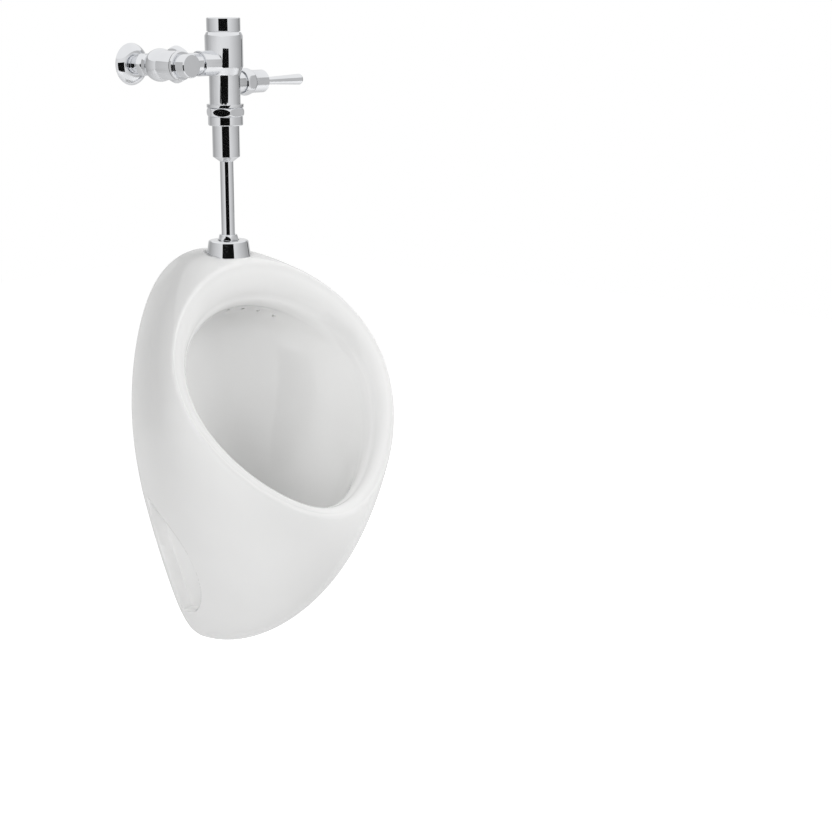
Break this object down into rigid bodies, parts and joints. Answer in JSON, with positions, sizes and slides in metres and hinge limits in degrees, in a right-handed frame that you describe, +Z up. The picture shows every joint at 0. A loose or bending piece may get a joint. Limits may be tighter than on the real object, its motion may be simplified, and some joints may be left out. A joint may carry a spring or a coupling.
{
  "type": "urinal",
  "caption": "Drop-shaped wall-hung ceramic urinal with a wide rim ring and an exposed manual flush valve with lever, flush tube, stop valve and wall fittings.",
  "frame": {"origin": "middle of the four hanger screws on the wall's face, which carry the bowl", "axes": "+X to the right as one faces the wall, +Y into the wall, +Z up"},
  "size_m": [0.4115, 0.3088, 0.931],
  "materials": {
    "glazed_ceramic": "white gloss glaze",
    "chrome": "polished chrome plate",
    "steel": "plain stainless",
    "brass": "machined",
    "black_rubber": "moulded",
    "moulded_plastic": "moulded"
  },
  "bodies": {
    "fixed": {"bowl": "glazed_ceramic", "strainer": "steel", "strainer_screw": "steel", "strainer_bar": "brass", "outlet_connector": "moulded_plastic", "outlet_seal": "black_rubber", "outlet_ring": "black_rubber", "hanger_brackets": "steel", "hanger_screws": "steel", "inlet_seal": "black_rubber", "spud": "brass", "spud_washer": "black_rubber", "slip_seal": "black_rubber", "slip_ring": "brass", "spud_nut": "chrome", "spud_cover": "chrome", "flush_tube": "chrome", "breaker": "moulded_plastic", "breaker_flap": "black_rubber", "body_seal": "black_rubber", "coupling_nut": "chrome", "valve_body": "chrome", "main_seat": "brass", "top_cap": "chrome", "inner_cover": "moulded_plastic", "handle_seal": "black_rubber", "bushing": "brass", "plunger_spring": "steel", "handle_socket": "brass", "handle_nut": "chrome", "handle_collar": "chrome", "handle_cup": "chrome", "tail_pipe": "chrome", "tail_seal": "black_rubber", "tail_gasket": "black_rubber", "tail_nut": "chrome", "stop_body": "chrome", "bonnet_seal": "black_rubber", "stop_bonnet": "chrome", "stop_cap": "chrome", "cap_ring": "black_rubber", "supply_pipe": "chrome", "supply_nut": "chrome", "escutcheon": "chrome"},
    "lever": {"lever": "chrome"},
    "plunger": {"plunger": "brass"},
    "piston": {"piston": "moulded_plastic", "piston_ring": "black_rubber", "piston_seal": "black_rubber"},
    "relief": {"relief_valve": "brass"},
    "stop_screw": {"stop_spindle": "brass"},
    "stop_shutter": {"stop_disc": "brass", "stop_disc_seal": "black_rubber"}
  },
  "joints": [
    {"name": "lever_press", "type": "hinge", "parent": "fixed", "child": "lever", "pos_m": [0.05295, -0.0597, 0.4231], "axis": [0, 1, 0], "range_deg": [0, 11], "stiffness_Nm_per_rad": 1, "springref_deg": -14.32},
    {"name": "plunger_slide", "type": "slide", "parent": "fixed", "child": "plunger", "axis": [-1, 0, 0], "range_m": [0, 0.0027]},
    {"name": "piston_lift", "type": "slide", "parent": "fixed", "child": "piston", "axis": [0, 0, 1], "range_m": [0, 0.01]},
    {"name": "relief_tilt", "type": "hinge", "parent": "piston", "child": "relief", "pos_m": [0.009, -0.0597, 0.434], "axis": [0, 1, 0], "range_deg": [0, 5.6]},
    {"name": "stop_turn", "type": "hinge", "parent": "fixed", "child": "stop_screw", "pos_m": [-0.12, -0.0597, 0.4385], "axis": [0, 1, 0], "range_deg": [0, 1315]},
    {"name": "stop_shut", "type": "slide", "parent": "fixed", "child": "stop_shutter", "axis": [0, 1, 0], "range_m": [0, 0.0073]}
  ],
  "couplings": [
    {"joint": "plunger_slide", "follows": "lever_press", "m_per_rad": 0.0139},
    {"joint": "relief_tilt", "follows": "lever_press", "ratio": 0.5},
    {"joint": "stop_turn", "follows": "stop_shut", "rad_per_m": 3141.6}
  ]
}
